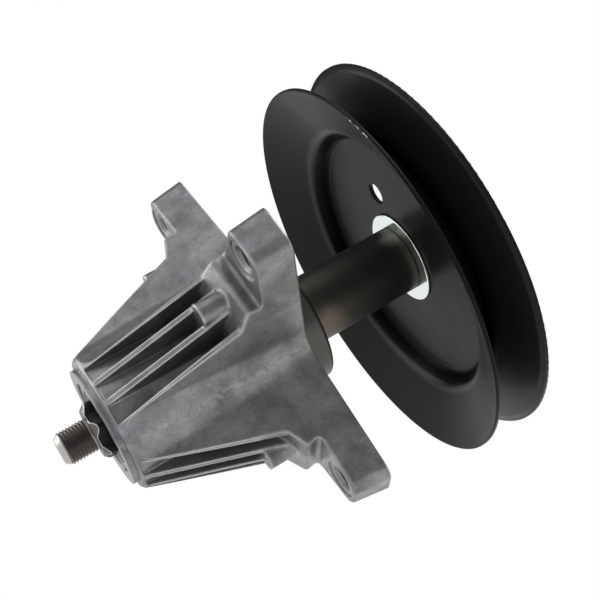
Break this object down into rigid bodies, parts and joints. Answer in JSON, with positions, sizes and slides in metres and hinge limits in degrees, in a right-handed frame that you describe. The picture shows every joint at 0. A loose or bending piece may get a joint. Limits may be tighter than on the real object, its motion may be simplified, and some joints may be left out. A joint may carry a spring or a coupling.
{
  "type": "mower deck spindle",
  "caption": "Ribbed cast spindle housing with a bolted deck flange, a shaft in sealed ball bearings, a threaded blade end and a pressed belt pulley on a spacer tube.",
  "frame": {"origin": "on the shaft axis at the deck mounting face, which is the upper face of the four ears", "axes": "+Z along the shaft axis towards the pulley; the ears are on the diagonals between X and Y"},
  "size_m": [0.1714, 0.1714, 0.185],
  "materials": {
    "cast_aluminium": "as cast, dull and mottled",
    "shaft_steel": "turned steel",
    "dark_steel": "black oxide, semi-gloss",
    "zinc_steel": "bright zinc plate",
    "black_paint": "semi-gloss black",
    "bearing_steel": "ground",
    "ball_steel": "polished",
    "cage_steel": "pressed steel",
    "seal_rubber": "matt"
  },
  "bodies": {
    "housing": {"spindle_housing": "cast_aluminium", "lower_outer_race": "bearing_steel", "lower_bottom_seal": "seal_rubber", "lower_top_seal": "seal_rubber", "upper_outer_race": "bearing_steel", "upper_bottom_seal": "seal_rubber", "upper_top_seal": "seal_rubber"},
    "rotor": {"shaft": "shaft_steel", "bearing_spacer": "dark_steel", "pulley_spacer": "dark_steel", "pulley_washer": "zinc_steel", "pulley_lower_half": "black_paint", "pulley_upper_half": "black_paint", "top_washer": "zinc_steel", "pulley_nut": "zinc_steel", "lower_inner_race": "bearing_steel", "upper_inner_race": "bearing_steel"},
    "lower_cage_set": {"lower_cage": "cage_steel", "lower_balls": "ball_steel"},
    "upper_cage_set": {"upper_cage": "cage_steel", "upper_balls": "ball_steel"}
  },
  "joints": [
    {"name": "spindle_spin", "type": "hinge", "parent": "housing", "child": "rotor", "pos_m": [0, 0, 0], "axis": [0, 0, 1], "continuous": true},
    {"name": "lower_cage_spin", "type": "hinge", "parent": "housing", "child": "lower_cage_set", "pos_m": [0, 0, -0.076], "axis": [0, 0, 1], "continuous": true},
    {"name": "upper_cage_spin", "type": "hinge", "parent": "housing", "child": "upper_cage_set", "pos_m": [0, 0, 0.003], "axis": [0, 0, 1], "continuous": true}
  ],
  "couplings": [
    {"joint": "lower_cage_spin", "follows": "spindle_spin", "ratio": 0.385},
    {"joint": "upper_cage_spin", "follows": "spindle_spin", "ratio": 0.385}
  ]
}
